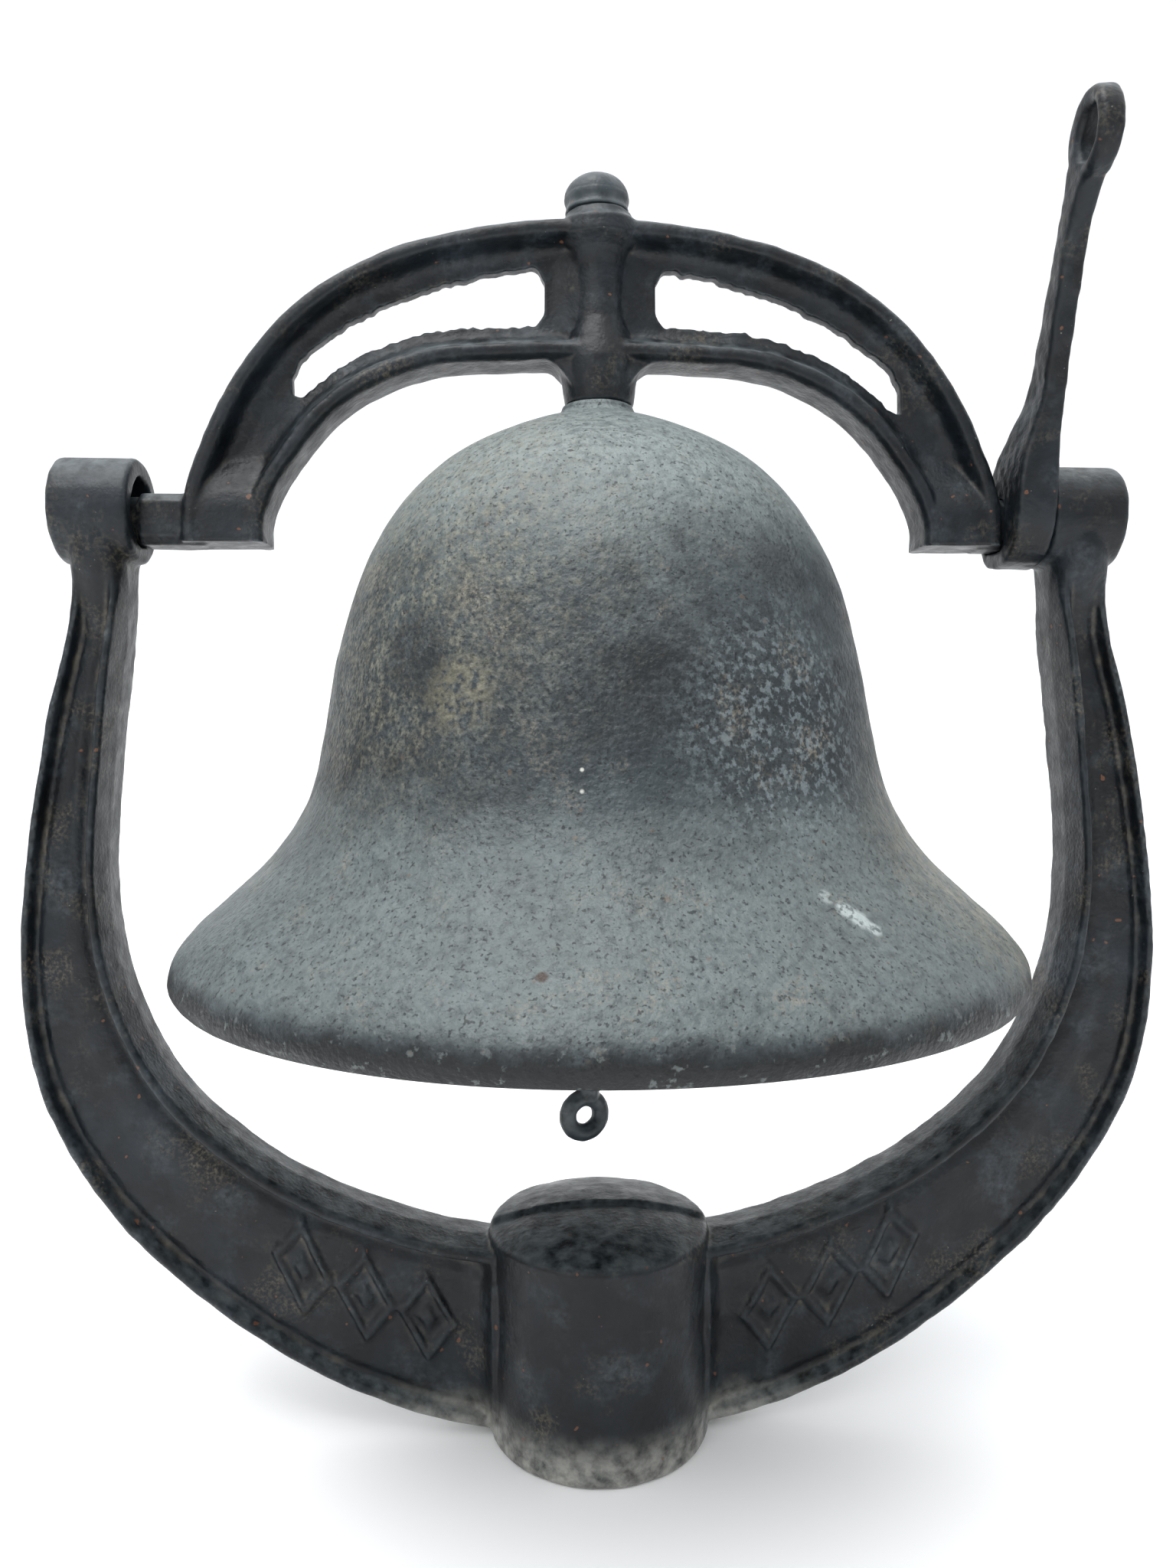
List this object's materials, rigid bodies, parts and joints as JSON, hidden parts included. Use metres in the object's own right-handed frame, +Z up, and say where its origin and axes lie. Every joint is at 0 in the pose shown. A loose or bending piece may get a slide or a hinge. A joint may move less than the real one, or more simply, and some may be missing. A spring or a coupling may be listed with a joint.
{
  "type": "yard dinner bell",
  "caption": "Cast-iron yard dinner bell hung from a bridged yoke in a shield-shaped post-top bracket, with a rope crank and a swinging clapper.",
  "frame": {"origin": "centre of the flat inside the top of the bracket's socket, where the top of the post bears", "axes": "+Z up along the post, +X along the swing axis towards the crank, -Y to the front"},
  "size_m": [0.7668, 0.559, 0.8642],
  "materials": {
    "painted_cast_iron": "thin black paint on sand-cast iron, worn lighter on the edges and dusty in the corners",
    "sand_cast_bell_iron": "weathered grey paint on coarse sand-cast iron",
    "cast_fittings": "dark cast iron, slightly rusted",
    "dull_steel": "dull forged steel"
  },
  "bodies": {
    "bracket": {"bracket": "painted_cast_iron"},
    "yoke": {"yoke": "painted_cast_iron", "bell": "sand_cast_bell_iron", "crank_arm": "painted_cast_iron", "crown_nut": "cast_fittings", "bell_bolt": "dull_steel", "crown_washer": "dull_steel", "clapper_pin": "dull_steel", "pin_washer": "dull_steel", "split_pin": "dull_steel"},
    "clapper": {"clapper": "cast_fittings"}
  },
  "joints": [
    {"name": "yoke_swing", "type": "hinge", "parent": "bracket", "child": "yoke", "pos_m": [0, 0, 0.4915], "axis": [1, 0, 0], "continuous": true},
    {"name": "clapper_swing", "type": "hinge", "parent": "yoke", "child": "clapper", "pos_m": [0, 0, 0.5198], "axis": [1, 0, 0], "range_deg": [-33, 33]}
  ]
}
